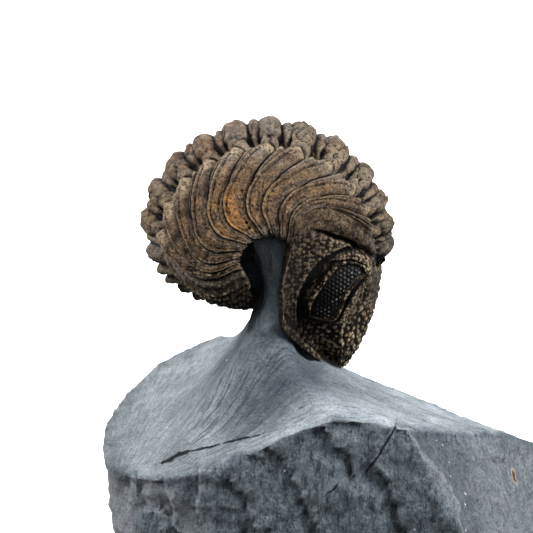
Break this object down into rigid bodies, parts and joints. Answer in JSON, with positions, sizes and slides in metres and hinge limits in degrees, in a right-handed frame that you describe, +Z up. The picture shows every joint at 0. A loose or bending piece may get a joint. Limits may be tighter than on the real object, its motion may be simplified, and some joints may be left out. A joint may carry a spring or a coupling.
{
  "type": "trilobite fossil",
  "caption": "Enrolled trilobite fossil with faceted eyes, prepared free of its rock and standing on its head on a rough limestone block.",
  "frame": {"origin": "middle of the flat base of the rock", "axes": "+X along the roll from tail to head, +Y across the animal, +Z up"},
  "size_m": [0.0494, 0.0394, 0.0473],
  "materials": {
    "limestone": "matt slate-grey limestone, brushed on top, dark and rough on the broken sides",
    "fossil_shell": "brown calcite shell with a dull sheen, grainy, dark in the grooves, warm tan on the raised bands"
  },
  "bodies": {
    "root": {"matrix_rock": "limestone", "cephalon": "fossil_shell", "thoracic_segment_01": "fossil_shell", "thoracic_segment_02": "fossil_shell", "thoracic_segment_03": "fossil_shell", "thoracic_segment_04": "fossil_shell", "thoracic_segment_05": "fossil_shell", "thoracic_segment_06": "fossil_shell", "thoracic_segment_07": "fossil_shell", "thoracic_segment_08": "fossil_shell", "thoracic_segment_09": "fossil_shell", "thoracic_segment_10": "fossil_shell", "thoracic_segment_11": "fossil_shell", "pygidium": "fossil_shell"}
  },
  "joints": []
}
